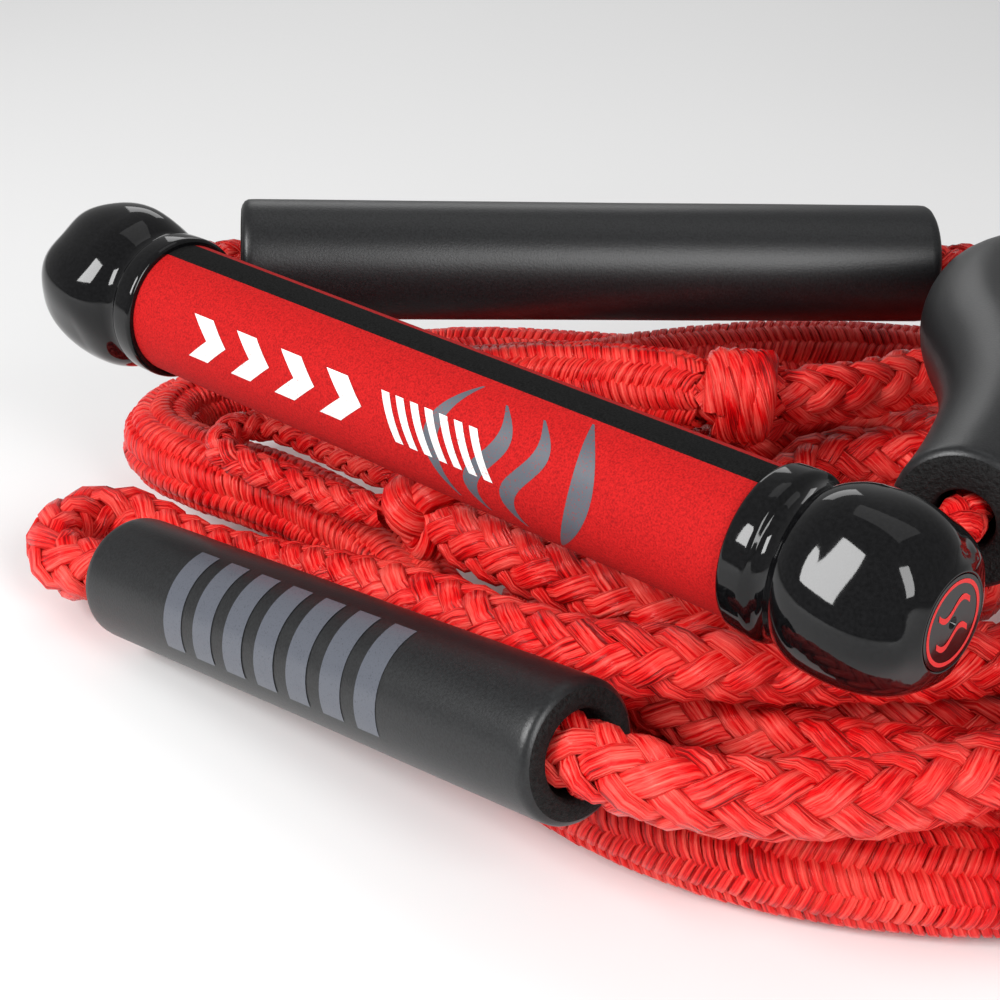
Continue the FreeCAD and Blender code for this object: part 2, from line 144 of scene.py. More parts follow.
def coil_turns():
    """Six turns wound clockwise from the inside out, and the start of a seventh that leaves them."""
    per_turn = 12
    points = []
    for i in range(6 * per_turn + 3):
        level, part = divmod(i, per_turn)
        level = min(level, 5)
        following = min(level + 1, 5)
        share = max(0, (part / per_turn - 0.7) / 0.3) if level < 5 else 0
        radius = COIL_LEVELS[level][0] * (1 - share) + COIL_LEVELS[following][0] * share
        height = COIL_LEVELS[level][1] * (1 - share) + COIL_LEVELS[following][1] * share
        angle = math.radians(150) - 2 * math.pi * i / per_turn
        x = COIL_CENTRE[0] + radius * math.cos(angle)
        y = COIL_CENTRE[1] + radius * math.sin(angle)
        points.append((x, y, height))
    return points


def in_row(point):
    return Vector((point[0], point[1], point[2] - GRIP_HEIGHT)) * MM


def spline_points(route):
    """Points along the smooth NURBS line that has the route's points as its control points."""
    curve = bpy.data.curves.new("route", "CURVE")
    curve.dimensions = "3D"
    curve.resolution_u = 16
    spline = curve.splines.new("NURBS")
    spline.points.add(len(route) - 1)
    for control, point in zip(spline.points, route):
        control.co = (*in_row(point), 1)
    spline.order_u = 3
    spline.use_endpoint_u = True
    holder = bpy.data.objects.new("route", curve)
    bpy.context.scene.collection.objects.link(holder)
    bpy.context.view_layer.update()
    mesh = bpy.data.meshes.new_from_object(holder)
    points = np.array([v.co[:] for v in mesh.vertices])
    bpy.data.objects.remove(holder)
    bpy.data.curves.remove(curve)
    bpy.data.meshes.remove(mesh)
    return points


class Path:
    """A line in space with an unturned frame at every point, looked up by the distance along it."""

    def __init__(self, points, spacing=0.0015):
        points = np.asarray(points, float)
        keep = np.r_[True, np.linalg.norm(np.diff(points, axis=0), axis=1) > 1e-7]
        points = points[keep]
        along = np.r_[0, np.cumsum(np.linalg.norm(np.diff(points, axis=0), axis=1))]
        count = max(8, int(along[-1] / spacing))
        self.at = np.linspace(0, along[-1], count)
        self.points = np.stack([np.interp(self.at, along, points[:, k]) for k in range(3)], axis=1)
        tangent = np.gradient(self.points, self.at, axis=0)
        tangent /= np.linalg.norm(tangent, axis=1)[:, None]
        side = np.zeros_like(tangent)
        first = np.cross(tangent[0], (0, 0, 1))
        if np.linalg.norm(first) < 0.1:
            first = np.cross(tangent[0], (0, 1, 0))
        side[0] = first / np.linalg.norm(first)
        for i in range(1, count):
            moved = side[i - 1] - tangent[i] * np.dot(side[i - 1], tangent[i])
            side[i] = moved / np.linalg.norm(moved)
        self.side = side
        self.up = np.cross(side, tangent)
        self.length = float(self.at[-1])
        self.tangent = tangent

    def place(self, distance, angle, radius):
        """Points at these distances along, angles around and radii from the line."""
        inside = np.clip(distance, 0, self.length)
        rest = (distance - inside)[..., None]

        def look(values):
            return np.stack([np.interp(inside, self.at, values[:, k]) for k in range(3)], axis=-1)

        outward = look(self.side) * np.cos(angle)[..., None] + look(self.up) * np.sin(angle)[..., None]
        return look(self.points) + rest * look(self.tangent) + outward * np.asarray(radius)[..., None]


def wander(distance, seed, wavelength, phases=5):
    """A smooth seeded variation of about -1 to 1 along a distance."""
    random = np.random.default_rng(seed)
    total = np.zeros_like(distance)
    for k in range(phases):
        length = wavelength * random.uniform(0.6, 1.7)
        total += np.sin(distance * 2 * math.pi / length + random.uniform(0, 6.3))
    return total / math.sqrt(phases)


# ---------------------------------------------------------------------------- mesh building


def new_mesh(name, vertices, faces, uvs=None):
    """An object from numpy arrays of vertices and of faces with the same number of corners."""
    corners = faces.shape[1]
    mesh = bpy.data.meshes.new(name)
    mesh.vertices.add(len(vertices))
    mesh.vertices.foreach_set("co", np.ascontiguousarray(vertices, np.float32).ravel())
    mesh.loops.add(faces.size)
    mesh.loops.foreach_set("vertex_index", np.ascontiguousarray(faces, np.int32).ravel())
    mesh.polygons.add(len(faces))
    mesh.polygons.foreach_set("loop_start", np.arange(0, faces.size, corners, dtype=np.int32))
    mesh.update(calc_edges=True)
    if uvs is not None:
        layer = mesh.uv_layers.new(name="UVMap")
        layer.data.foreach_set("uv", np.ascontiguousarray(uvs, np.float32).ravel())
    mesh.polygons.foreach_set("use_smooth", np.ones(len(faces), bool))
    mesh.validate()
    obj = bpy.data.objects.new(name, mesh)
    bpy.context.scene.collection.objects.link(obj)
    return obj


class Parts:
    """Collects grids of vertices that become one mesh."""

    def __init__(self):
        self.vertices, self.faces, self.uvs, self.count = [], [], [], 0

    def add_grid(self, grid, along, across, closed=False):
        """A grid of points (rows, columns, 3), with texture values for its rows and its columns."""
        rows, columns = grid.shape[:2]
        number = self.count + np.arange(rows * columns).reshape(rows, columns)
        spans = columns if closed else columns - 1
        left = number[:, :spans]
        right = np.roll(number, -1, axis=1)[:, :spans] if closed else number[:, 1:]
        faces = np.stack([left[:-1], right[:-1], right[1:], left[1:]], axis=-1)
        across = np.asarray(across, float)
        near = across[:spans]
        far = np.r_[across[1:], 1.0] if closed else across[1:]
        u = np.broadcast_to(np.stack([near, far, far, near], axis=-1), (rows - 1, spans, 4))
        low, high = along[:-1], along[1:]
        v = np.broadcast_to(np.stack([low, low, high, high], axis=-1)[:, None, :], (rows - 1, spans, 4))
        self.vertices.append(grid.reshape(-1, 3))
        self.faces.append(faces.reshape(-1, 4))
        self.uvs.append(np.stack([u, v], axis=-1).reshape(-1, 2))
        self.count += rows * columns

    def build(self, name):
        return new_mesh(name, *(np.concatenate(part) for part in (self.vertices, self.faces, self.uvs)))


def strand_section(width, thick, sides):
    """A flattened round section, as across and outward offsets."""
    turn = np.arange(sides) * 2 * math.pi / sides
    across = np.sign(np.cos(turn)) * np.abs(np.cos(turn)) ** 0.8 * width / 2
    outward = np.sin(turn) * thick / 2
    return across, outward


def add_strand(parts, path, distance, angle, middle, section, slant, direction, swell):
    """One strand laid round a path. Its section hugs the rope's surface."""
    across, outward = section
    wide = across[None, :] * swell[:, None]
    radius = middle[:, None] + outward[None, :]
    angles = angle[:, None] + wide * math.cos(slant) / middle[:, None]
    distances = distance[:, None] - direction * wide * math.sin(slant)
    grid = path.place(distances, angles, radius)
    parts.add_grid(grid, distance / 0.01, np.arange(len(across)) / len(across), closed=True)


def braid(parts, path, radius, per_side, lead, thick, sides=8, per_crossing=2.0, seed=1, drawn=0.0):
    """A round braid: strands laid both ways, each passing over two and under two of the others.

    drawn is the length over which each end narrows to go under what holds it.
    """
    step = lead / (2 * per_side) / per_crossing
    distance = np.linspace(0, path.length, max(4, int(path.length / step)))
    base = radius - thick * 1.02
    slant = math.atan(2 * math.pi * base / lead)
    width = 2 * math.pi * (base + thick / 2) / per_side * math.cos(slant)
    crossing = 2 * per_side * distance / lead
    section = strand_section(width, thick, sides)
    for direction in (1, -1):
        for i in range(per_side):
            if direction > 0:
                wave = np.cos(math.pi / 2 * (crossing + 2 * i - 0.5))
            else:
                wave = -np.cos(math.pi / 2 * (2 * i - crossing - 0.5))
            lift = wave / np.sqrt(wave**2 + 0.35) * math.sqrt(1.35)
            number = seed * 100 + i + 50 * (direction > 0)
            middle = base + lift * thick * 0.54 + wander(distance, number, 0.05) * thick * 0.06
            if drawn:
                from_end = np.minimum(distance, path.length - distance)
                middle = middle * (0.72 + 0.28 * np.clip(from_end / drawn, 0, 1) ** 0.7)
            angle = 2 * math.pi * i / per_side + direction * 2 * math.pi * distance / lead
            angle = angle + wander(distance, number + 7, 0.04) * 0.035
            swell = 1 + 0.07 * wander(distance, number + 13, 0.03)
            add_strand(parts, path, distance, angle, middle, section, slant, direction, swell)


def laid(parts, path, radius, strands, lead, sides=10, seed=1, step=0.0015):
    """A twisted bundle: thick strands that all turn the same way round the path."""
    distance = np.linspace(0, path.length, max(6, int(path.length / step)))
    thick = radius * 0.95
    middle = radius - thick / 2
    slant = math.atan(2 * math.pi * middle / lead)
    width = 2 * math.pi * middle / strands * math.cos(slant) * 1.25
    section = strand_section(width, thick, sides)
    for i in range(strands):
        number = seed * 100 + i
        angle = 2 * math.pi * i / strands + 2 * math.pi * distance / lead
        angle = angle + wander(distance, number, 0.03) * 0.12
        swell = 1 + 0.1 * wander(distance, number + 3, 0.02)
        radii = np.full_like(distance, middle) * (1 + 0.05 * wander(distance, number + 9, 0.02))
        add_strand(parts, path, distance, angle, radii, section, slant, 1, swell)


def plain_tube(parts, path, radius, sides=12, step=0.004):
    distance = np.linspace(0, path.length, max(4, int(path.length / step)))
    angle = np.arange(sides) * 2 * math.pi / sides
    grid = path.place(
        np.broadcast_to(distance[:, None], (len(distance), sides)),
        np.broadcast_to(angle[None, :], (len(distance), sides)),
        np.full((len(distance), sides), radius),
    )
    parts.add_grid(grid, distance / 0.01, angle / (2 * math.pi), closed=True)


# ---------------------------------------------------------------------------- materials


class Nodes:
    """A small builder for procedural materials."""

    def __init__(self, name):
        self.material = bpy.data.materials.new(name)
        self.material.use_nodes = True
        self.tree = self.material.node_tree
        self.shader = self.tree.nodes["Principled BSDF"]

    def add(self, kind, **values):
        node = self.tree.nodes.new(kind)
        for key, value in values.items():
            setattr(node, key, value)
        return node

    def join(self, source, target):
        self.tree.links.new(source, target)

    def coordinates(self, kind, scale):
        source = self.add("ShaderNodeTexCoord")
        mapping = self.add("ShaderNodeMapping")
        mapping.inputs["Scale"].default_value = scale
        self.join(source.outputs[kind], mapping.inputs["Vector"])
        return mapping.outputs["Vector"]

    def noise(self, vector, scale, detail=3, roughness=0.5):
        node = self.add("ShaderNodeTexNoise")
        node.inputs["Scale"].default_value = scale
        node.inputs["Detail"].default_value = detail
        node.inputs["Roughness"].default_value = roughness
        self.join(vector, node.inputs["Vector"])
        return node.outputs["Fac"]

    def ramp(self, value, *stops):
        node = self.add("ShaderNodeValToRGB")
        elements = node.color_ramp.elements
        while len(elements) < len(stops):
            elements.new(0.5)
        for element, (place, colour) in zip(elements, stops):
            element.position = place
            element.color = (*colour, 1) if len(colour) == 3 else colour
        self.join(value, node.inputs["Fac"])
        return node.outputs["Color"]

    def bump(self, height, strength, distance, after=None):
        node = self.add("ShaderNodeBump")
        node.inputs["Strength"].default_value = strength
        node.inputs["Distance"].default_value = distance
        self.join(height, node.inputs["Height"])
        if after is not None:
            self.join(after, node.inputs["Normal"])
        return node.outputs["Normal"]

    def set(self, **values):
        for key, value in values.items():
            self.shader.inputs[key.replace("_", " ")].default_value = value


def fibre_material(name, painted_gap_shade, middle, light, rough, fine=1.0):
    """Glossy plastic fibres in flat bundles, coloured with painted shade between the fibres and painted
    highlight streaks along them. Texture u goes across a strand and v along it.
    """
    n = Nodes(name)
    fibres = n.noise(n.coordinates("UV", (17 * fine, 0.42, 1)), 1.6, 4, 0.65)
    clumps = n.noise(n.coordinates("UV", (5 * fine, 0.35, 1)), 1.3, 2)
    blotches = n.noise(n.coordinates("Object", (1, 1, 1)), 90, 2)
    part = n.add("ShaderNodeMath", operation="MULTIPLY")
    n.join(blotches, part.inputs[0])
    part.inputs[1].default_value = 0.25
    mix = n.add("ShaderNodeMath", operation="MULTIPLY_ADD")
    n.join(fibres, mix.inputs[0])
    mix.inputs[1].default_value = 0.75
    n.join(part.outputs[0], mix.inputs[2])
    # The ramp's dark end is painted shade in the gaps between fibres, its middle is the rope's own red, and
    # its light end is painted highlight streaks along the fibres.
    colour = n.ramp(mix.outputs[0], (0.36, painted_gap_shade), (0.47, middle), (0.64, light))
    n.join(colour, n.shader.inputs["Base Color"])
    coarse = n.bump(clumps, 0.6, 0.0008)
    n.join(n.bump(fibres, 1.0, 0.0009, coarse), n.shader.inputs["Normal"])
    n.set(Roughness=rough, IOR=1.5, Specular_IOR_Level=0.5, Sheen_Weight=0.02, Sheen_Roughness=0.35)
    n.shader.inputs["Sheen Tint"].default_value = (1, 0.45, 0.4, 1)
    n.shader.inputs["Specular Tint"].default_value = (1, 0.5, 0.45, 1)
    return n.material


def foam_material(name, base, speck, rough, cell, bump=0.5, depth=0.0003, gloss=0.3):
    """Closed-cell foam skin: fine cells, a slight colour change and tiny pits."""
    n = Nodes(name)
    place = n.coordinates("Object", (1, 1, 1))
    cells = n.noise(place, cell, 2, 0.7)
    wide = n.noise(place, 35, 2)
    pale = tuple(min(1, c * 1.2 + 0.002) for c in base)
    n.join(n.ramp(cells, (0.34, speck), (0.5, base), (0.66, pale)), n.shader.inputs["Base Color"])
    soft = n.bump(wide, 0.15, 0.001)
    n.join(n.bump(cells, bump, depth, soft), n.shader.inputs["Normal"])
    n.set(Roughness=rough, IOR=1.45, Specular_IOR_Level=gloss)
    return n.material


def rubber_material(name, colour, rough, wave=0.12):
    """Moulded glossy rubber, with very shallow unevenness."""
    n = Nodes(name)
    place = n.coordinates("Object", (1, 1, 1))
    slow = n.noise(place, 55, 2)
    fine = n.noise(place, 1400, 2)
    pale = tuple(c * 1.6 + 0.002 for c in colour)
    n.join(n.ramp(fine, (0.3, colour), (0.7, pale)), n.shader.inputs["Base Color"])
    n.join(n.bump(fine, 0.06, 0.00005, n.bump(slow, wave, 0.0012)), n.shader.inputs["Normal"])
    n.set(Roughness=rough, IOR=1.5, Specular_IOR_Level=0.3)
    return n.material


def print_material(name, colour, worn, rough):
    """Screen-printed ink on foam, a little worn."""
    n = Nodes(name)
    place = n.coordinates("Object", (1, 1, 1))
    grain = n.noise(place, 2600, 2)
    n.join(n.ramp(grain, (0.3, worn), (0.42, colour)), n.shader.inputs["Base Color"])
    n.join(n.bump(grain, 0.25, 0.0001), n.shader.inputs["Normal"])
    n.set(Roughness=rough, IOR=1.45)
    return n.material


def metal_material(name):
    n = Nodes(name)
    brushed = n.noise(n.coordinates("Object", (6, 900, 900)), 1.5, 3)
    colour = n.ramp(brushed, (0.3, (0.6, 0.6, 0.62)), (0.7, (0.76, 0.76, 0.78)))
    n.join(colour, n.shader.inputs["Base Color"])
    n.join(n.bump(brushed, 0.1, 0.0001), n.shader.inputs["Normal"])
    n.set(Metallic=1.0, Roughness=0.32)
    return n.material


# In each rope colour below, the dark end is painted shade between fibres, middle is the rope's own red, and
# light is painted highlight streaks.
RED_ROPE = fibre_material(
    "red rope fibre", painted_gap_shade=(0.17, 0.0, 0.001), middle=(0.78, 0.0015, 0.004), light=(1.0, 0.13, 0.10),
    rough=0.26,
)
RED_SHEATH = fibre_material(
    "red sheath fibre", painted_gap_shade=(0.2, 0.0, 0.001), middle=(0.76, 0.002, 0.005), light=(1.0, 0.11, 0.08),
    rough=0.34, fine=0.4,
)
RED_TWINE = fibre_material(
    "red twine", painted_gap_shade=(0.16, 0.0, 0.002), middle=(0.42, 0.003, 0.006), light=(0.6, 0.02, 0.02),
    rough=0.5, fine=0.3,
)
LATEX = foam_material("latex strands", base=(0.62, 0.47, 0.27), speck=(0.5, 0.36, 0.2), rough=0.55, cell=900)
RED_FOAM = foam_material(
    "red grip foam", base=(0.42, 0.005, 0.005), speck=(0.27, 0.002, 0.003), rough=0.8, cell=2300, gloss=0.2,
)
STRIP_FOAM = foam_material(
    "black grip foam", base=(0.006, 0.006, 0.006), speck=(0.0015, 0.0015, 0.0015), rough=0.9, cell=2300,
    bump=0.6, gloss=0.12,
)
BLACK_FOAM = foam_material(
    "black float foam", base=(0.0085, 0.009, 0.0098), speck=(0.004, 0.004, 0.0045), rough=0.38, cell=1900,
    bump=0.2, depth=0.0002, gloss=0.5,
)
CUT_FOAM = foam_material(
    "cut float foam", base=(0.006, 0.006, 0.006), speck=(0.0006, 0.0006, 0.0006), rough=0.8, cell=1100,
    bump=0.9, depth=0.0009,
)
CAP_RUBBER = rubber_material("cap rubber", (0.0018, 0.0018, 0.0021), rough=0.06)
BUSH_PLASTIC = rubber_material("bush plastic", (0.012, 0.012, 0.012), rough=0.4)
WHITE_PRINT = print_material("white print", (0.74, 0.73, 0.72), worn=(0.62, 0.30, 0.28), rough=0.55)
GREY_PRINT = print_material("grey print", (0.075, 0.085, 0.105), worn=(0.22, 0.03, 0.03), rough=0.5)
FLOAT_PRINT = print_material("slate print", (0.088, 0.095, 0.115), worn=(0.06, 0.065, 0.08), rough=0.28)
RED_PRINT = print_material("red print", (0.62, 0.012, 0.012), worn=(0.45, 0.01, 0.01), rough=0.35)
METAL = metal_material("bar metal")


def paint(obj, *materials):
    obj.data.materials.clear()
    for material in materials:
        obj.data.materials.append(material)


# ---------------------------------------------------------------------------- cords


def finish_piece(obj, body, slot, *nodes):
    if nodes:
        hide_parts(*nodes)
    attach(obj, body)
    return obj


def make_knot(name, centre, size, tilt, body, node, seed):
    """A pulled-tight overhand knot of soft twisted bundles."""
    turn = np.linspace(0, 2 * math.pi, 160)
    loop = np.stack([
        np.sin(turn) + 2 * np.sin(2 * turn),
        np.cos(turn) - 2 * np.cos(2 * turn),
        -1.5 * np.sin(3 * turn),
    ], axis=1)
    bundle = size * 0.42
    loop *= (size - bundle) / 3.0
    a, b = math.radians(tilt[0]), math.radians(tilt[1])
    about_x = np.array([[1, 0, 0], [0, math.cos(a), -math.sin(a)], [0, math.sin(a), math.cos(a)]])
    about_z = np.array([[math.cos(b), -math.sin(b), 0], [math.sin(b), math.cos(b), 0], [0, 0, 1]])
    loop = loop @ (about_z @ about_x).T + np.array(in_row(centre))
    parts = Parts()
    laid(parts, Path(loop, 0.0008), bundle, 4, 0.05, 12, seed, 0.001)
    obj = parts.build(name)
    paint(obj, RED_ROPE)
    return finish_piece(obj, body, "red_rope", node)


def make_wrap():
    """The hitch where the stretch section joins the line: snug turns that cover the two ends."""
    axis = Vector(WRAP_DIRECTION).normalized()
    length, turns, reach, bundle = 0.019, 3.3, 0.0086, 0.0036
    start = in_row(WRAP_CENTRE) - axis * length / 2
    side = axis.cross(Vector((0, 0, 1))).normalized()
    up = side.cross(axis)
    points = []
    for i in range(140):
        share = i / 139
        angle = share * turns * 2 * math.pi
        along = bundle + share * (length - 2 * bundle)
        points.append(start + axis * along + (side * math.cos(angle) + up * math.sin(angle)) * reach)
    parts = Parts()
    laid(parts, Path([tuple(p) for p in points], 0.0008), bundle, 4, 0.045, 10, 5, 0.001)
    ends = Path([tuple(start), tuple(start + axis * length)], 0.001)
    braid(parts, ends, 0.0082, 6, 0.05, 0.0022, seed=6)
    obj = parts.build("section_wrap_turns")
    paint(obj, RED_ROPE)
    return finish_piece(obj, "line", "red_rope", "section_wrap")


def make_seizing():
    """Fine twine wound round both legs of the bridle."""
    centre = in_row(SEIZING_CENTRE)
    half_gap, reach, twine = 0.0052, 0.0058, 0.0007
    straight = 2 * half_gap
    arc = math.pi * reach
    around = 2 * straight + 2 * arc
    points = []
    turns, per_turn = 10, 40
    for i in range(turns * per_turn + 1):
        x = centre.x - 0.007 + 0.014 * i / (turns * per_turn)
        s = (i % per_turn) / per_turn * around
        if s < straight:
            y, z = -half_gap + s, reach
        elif s < straight + arc:
            angle = math.pi / 2 - (s - straight) / reach
            y, z = half_gap + reach * math.cos(angle), reach * math.sin(angle)
        elif s < 2 * straight + arc:
            y, z = half_gap - (s - straight - arc), -reach
        else:
            angle = -math.pi / 2 - (s - 2 * straight - arc) / reach
            y, z = -half_gap + reach * math.cos(angle), reach * math.sin(angle)
        points.append((x, centre.y + y, centre.z + z))
    parts = Parts()
    laid(parts, Path(points, 0.0008), twine, 3, 0.004, 6, 8, 0.0012)
    obj = parts.build("seizing_twine")
    paint(obj, RED_TWINE)
    return finish_piece(obj, "bridle", "red_rope", "bridle_seizing")


def make_line():
    path = Path(spline_points(LINE_LEAD + coil_turns() + LINE_RUN))
    parts = Parts()
    braid(parts, path, LINE_RADIUS, 6, 0.056, 0.0027, sides=8, per_crossing=1.5, seed=1, drawn=0.008)
    obj = parts.build("main_line")
    paint(obj, RED_ROPE)
    finish_piece(obj, "line", "red_rope", "line_lead", "line_coil", "line_run")
    return obj


def make_bungee():
    path = Path(spline_points(BUNGEE_RUN))
    parts = Parts()
    braid(parts, path, BUNGEE_RADIUS, 10, 0.024, 0.0018, sides=6, per_crossing=1.5, seed=2, drawn=0.008)
    obj = parts.build("stretch_sheath")
    paint(obj, RED_SHEATH)
    finish_piece(obj, "line", "red_rope", "bungee_sheath")
    parts = Parts()
    plain_tube(parts, path, CORE_RADIUS)
    core = parts.build("stretch_core")
    paint(core, LATEX)
    finish_piece(core, "line", "latex", "bungee_core")


def make_small_loop(name, route, node, body, seed):
    path = Path(spline_points(route), 0.0008)
    parts = Parts()
    braid(parts, path, LOOP_RADIUS, 4, 0.030, 0.0021, sides=8, per_crossing=3, seed=seed)
    obj = parts.build(name)
    paint(obj, RED_ROPE)
    finish_piece(obj, body, "red_rope", node)


def make_bridle():
    route = LEFT_LEG + BRIDLE_EYE + RIGHT_LEG[::-1]
    path = Path(spline_points(route), 0.001)
    parts = Parts()
    braid(parts, path, BRIDLE_RADIUS, 4, 0.034, 0.0021, sides=8, per_crossing=2.5, seed=4)
    obj = parts.build("bridle_rope")
    paint(obj, RED_ROPE)
    finish_piece(obj, "bridle", "red_rope", "bridle_leg_left", "bridle_leg_right", "bridle_eye")


# ---------------------------------------------------------------------------- foam tubes


def foam_tube(name, path, outer, bore, node, body, wrinkles=0.0):
    """A foam tube with softly rounded rims, a slightly sunken cut face and its bore."""
    edge = 0.0025
    bands = [
        (0.030, bore, 1), (0.004, bore, 1), (0.0006, bore + 0.0002, 1), (0.0, bore + 0.0009, 1),
        (-0.0001, (bore + outer) / 2, 1), (0.0, outer - edge, 1), (0.0003, outer - edge * 0.55, 0),
        (0.0009, outer - edge * 0.2, 0), (0.0017, outer - 0.0001, 0), (0.003, outer, 0),
    ]
    distance = [band[0] for band in bands]
    radius = [band[1] for band in bands]
    count = max(12, int(path.length / 0.004))
    middle = np.linspace(0.006, path.length - 0.006, count)
    distance += list(middle) + [path.length - d for d in distance[::-1]]
    radius += [outer] * count + radius[::-1]
    distance, radius = np.array(distance), np.array(radius)
    sides = 72
    angle = np.arange(sides) * 2 * math.pi / sides
    around = np.broadcast_to(angle[None, :], (len(distance), sides))
    along = np.broadcast_to(distance[:, None], around.shape)
    radii = np.broadcast_to(radius[:, None], around.shape).copy()
    skin = radii > outer - 0.0003
    swell = wander(along + np.cos(around) * 0.02, 31, 0.09) * 0.00004
    radii[skin] += swell[skin]
    if wrinkles:
        radii[skin] -= wrinkles * (0.5 + 0.5 * np.sin(along[skin] / 0.006)) * 0.3
    parts = Parts()
    parts.add_grid(path.place(along, around, radii), distance / 0.01, angle / (2 * math.pi), closed=True)
    obj = parts.build(name)
    paint(obj, BLACK_FOAM, CUT_FOAM)
    cut_rows = len(bands) - 4
    index = np.zeros(len(obj.data.polygons), np.int32)
    index[: cut_rows * sides] = 1
    index[-cut_rows * sides:] = 1
    obj.data.polygons.foreach_set("material_index", index)
    finish_piece(obj, body, "black_foam", node)
    return obj


def straight(start, end):
    return Path([tuple(start), tuple(end)], 0.002)


def make_floats():
    line_path = straight(in_row(FLOAT_START), in_row(FLOAT_END))
    line_float = foam_tube(
        "line_float_foam", line_path, LINE_FOAM_RADIUS, 0.0085, "line_float", "line_float",
    )
    end = in_row(LEFT_LEG[1])
    direction = (end - in_row(LEFT_LEG[0])).normalized()
    left_path = straight(end - direction * 0.185, end - direction * 0.010)
    left = foam_tube("left_leg_foam", left_path, LEG_FOAM_RADIUS, 0.0054, "left_leg_float", "left_leg_float")
    right_path = Path(spline_points(RIGHT_FOAM), 0.002)
    right = foam_tube(
        "right_leg_foam", right_path, LEG_FOAM_RADIUS, 0.0062, "right_leg_float", "bridle", 0.0004,
    )
    print_float_bars(line_path)
    return line_float, left, right


# ---------------------------------------------------------------------------- printed marks


def surface_patch(parts, place, corners, columns=10, rows=8):
    """A four-cornered patch in flat (along, around) coordinates, laid on a surface by place()."""
    a, b, c, d = (np.array(p, float) for p in corners)
    u = np.linspace(0, 1, columns)[None, :, None]
    v = np.linspace(0, 1, rows)[:, None, None]
    flat = (a * (1 - u) + b * u) * (1 - v) + (d * (1 - u) + c * u) * v
    parts.add_grid(place(flat), np.linspace(0, 1, rows), np.linspace(0, 1, columns))


def print_float_bars(path):
    """Seven plain bands printed part of the way round the line's float."""
    facing = Vector(CAMERA_PLACE) - Vector(path.points[len(path.points) // 2])
    middle = math.atan2(facing.dot(Vector(path.up[0])), facing.dot(Vector(path.side[0])))

    def place(flat):
        return path.place(flat[..., 0], flat[..., 1] + middle, np.full(flat.shape[:-1], FLOAT_PRINT_RADIUS))

    parts = Parts()
    low, high = math.radians(-52), math.radians(46)
    for i in range(7):
        start = 0.0335 + 0.0110 * i
        end = start + 0.0066
        surface_patch(parts, place, [(start, low), (end, low), (end, high), (start, high)], 4, 30)
    obj = parts.build("line_float_print")
    paint(obj, FLOAT_PRINT)
    finish_piece(obj, "line_float", "black_foam")


def grip_place(flat, radius=GRIP_PRINT_RADIUS):
    """From x along the bar and degrees round from the top towards the user, to a point just off the grip."""
    angle = np.radians(flat[..., 1])
    return np.stack([flat[..., 0] * MM, -radius * np.sin(angle), radius * np.cos(angle)], axis=-1)


def print_grip():
    """Four bold chevrons and seven slanting bars in white, over four curved grey bands."""
    parts = Parts()
    for i in range(4):
        x = -65 + 14.5 * i
        for start, low, high, lean in ((x, 57, 75.5, 6), (x + 6, 75.5, 94, -6)):
            surface_patch(parts, grip_place, [
                (start, low), (start + 6.5, low), (start + 6.5 + lean, high), (start + lean, high)], 4, 10)
    for i in range(7):
        x = -4.9 + 4.17 * i
        surface_patch(parts, grip_place, [(x, 57), (x + 2.3, 57), (x + 8.8, 92), (x + 6.5, 92)], 3, 14)
    obj = parts.build("grip_print_white")
    paint(obj, WHITE_PRINT)
    finish_piece(obj, "handle", "red_foam")
    parts = Parts()
    steps = np.linspace(0, 1, 48)

    def ribbon(x, degrees, width):
        """A band of changing width along a curve on the grip."""
        flat = np.stack([np.stack([x - width, degrees], -1), np.stack([x + width, degrees], -1)], axis=1)
        parts.add_grid(grip_place(flat, GREY_PRINT_RADIUS), steps, np.array([0.0, 1.0]))

    swell = np.sin(steps * math.pi)
    ribbon(18 - 7 * swell, 24 + 97 * steps, 0.25 + 1.7 * swell)
    ribbon(46 + 6 * swell - 2 * steps, 20 + 112 * steps, 0.25 + 2.6 * swell)
    for x in (26, 36):
        ribbon(x + 3.5 * np.sin(steps * 2 * math.pi), 32 + 92 * steps, 0.3 + 2.2 * swell)
    obj = parts.build("grip_print_grey")
    paint(obj, GREY_PRINT)
    finish_piece(obj, "handle", "red_foam")


